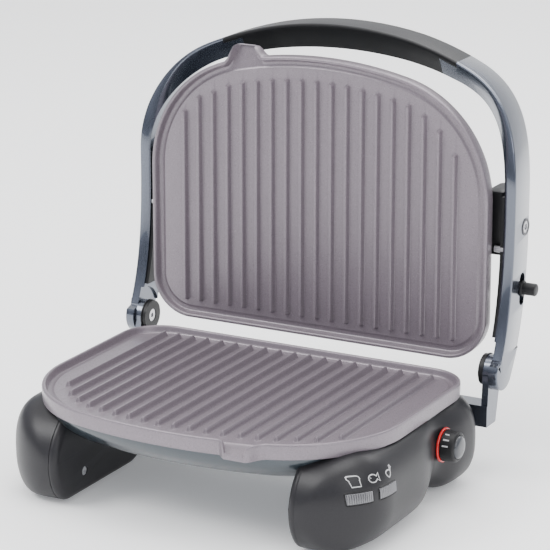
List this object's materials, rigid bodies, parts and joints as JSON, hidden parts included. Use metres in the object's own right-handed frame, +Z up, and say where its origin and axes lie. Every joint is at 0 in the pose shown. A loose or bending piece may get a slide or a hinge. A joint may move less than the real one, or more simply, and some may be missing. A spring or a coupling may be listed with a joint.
{
  "type": "electric indoor grill with hinged lid",
  "caption": "Electric indoor grill with two ribbed ceramic-coated plates, a lid hung on a bent handle frame, moulded pods, a control knob and a pouring spout.",
  "frame": {"origin": "on the table under the middle of the machine, 33 mm behind the middle of the lower plate", "axes": "+X to the right, +Y to the back, +Z up, seen from the front"},
  "size_m": [0.3656, 0.338, 0.352],
  "materials": {
    "ceramic_grey": "speckled ceramic coat, satin, with a fine sparkle",
    "gloss_slate": "glossy slate blue-grey paint on cast aluminium",
    "arm_grey": "glossy metallic blue-grey paint on cast aluminium",
    "charcoal_plastic": "satin charcoal moulding",
    "black_plastic": "fine-grained black moulding",
    "bright_steel": "plain bright steel",
    "sheet_aluminium": "mill-finished sheet",
    "dark_metal": "dark oxide sheath",
    "lens_silver": "ribbed silvery lens",
    "lamp_red": "neon lamp",
    "red_ring": "glossy red",
    "grey_cap": "domed satin grey cap",
    "block_white": "unglazed white",
    "foot_rubber": "soft black rubber"
  },
  "bodies": {
    "base": {"base_shell": "gloss_slate", "lower_reflector": "sheet_aluminium", "lower_element": "dark_metal", "lower_plate_clips": "bright_steel", "left_pod_cap": "charcoal_plastic", "right_pod_cap": "charcoal_plastic", "left_pod_cover": "charcoal_plastic", "right_pod_cover": "charcoal_plastic", "pod_cover_screws": "bright_steel", "indicator_lenses": "lens_silver", "indicator_lamps": "lamp_red", "thermostat": "sheet_aluminium", "terminal_block": "block_white", "cord_gland": "black_plastic", "rubber_feet": "foot_rubber", "knob_ring": "red_ring", "left_bracket": "arm_grey", "right_bracket": "arm_grey", "hinge_discs": "black_plastic", "hinge_pins": "bright_steel"},
    "handle_frame": {"left_arm": "arm_grey", "right_arm": "arm_grey", "left_arm_cover": "black_plastic", "right_arm_cover": "black_plastic", "grip": "black_plastic", "grip_screws": "bright_steel", "lid_pivot_bolts": "bright_steel", "pivot_rings": "dark_metal", "tilt_stops": "bright_steel"},
    "release_peg": {"release_peg": "black_plastic"},
    "lid": {"lid_shell": "gloss_slate", "left_pivot_block": "black_plastic", "right_pivot_block": "black_plastic", "upper_reflector": "sheet_aluminium", "upper_element": "dark_metal", "upper_plate_clips": "bright_steel"},
    "lower_plate": {"lower_plate": "ceramic_grey"},
    "upper_plate": {"upper_plate": "ceramic_grey"},
    "knob": {"knob": "black_plastic", "knob_cap": "grey_cap", "knob_shaft": "bright_steel"}
  },
  "joints": [
    {"name": "frame_hinge", "type": "hinge", "parent": "base", "child": "handle_frame", "pos_m": [0, 0.1035, 0.089], "axis": [1, 0, 0], "range_deg": [-90, 90]},
    {"name": "lid_pivot", "type": "hinge", "parent": "handle_frame", "child": "lid", "pos_m": [0, 0.1392, 0.203], "axis": [-1, 0, 0], "range_deg": [-10, 0]},
    {"name": "lower_plate_lift", "type": "slide", "parent": "base", "child": "lower_plate", "axis": [0, 0, -1], "range_m": [-0.03, 0]},
    {"name": "upper_plate_lift", "type": "slide", "parent": "lid", "child": "upper_plate", "axis": [0, 1, 0], "range_m": [-0.03, 0]},
    {"name": "knob_turn", "type": "hinge", "parent": "base", "child": "knob", "pos_m": [0.1585, 0.023, 0.0485], "axis": [1, 0, 0], "range_deg": [0, 270]},
    {"name": "peg_slide", "type": "slide", "parent": "handle_frame", "child": "release_peg", "axis": [0, 0, 1], "range_m": [-0.008, 0.008]}
  ]
}
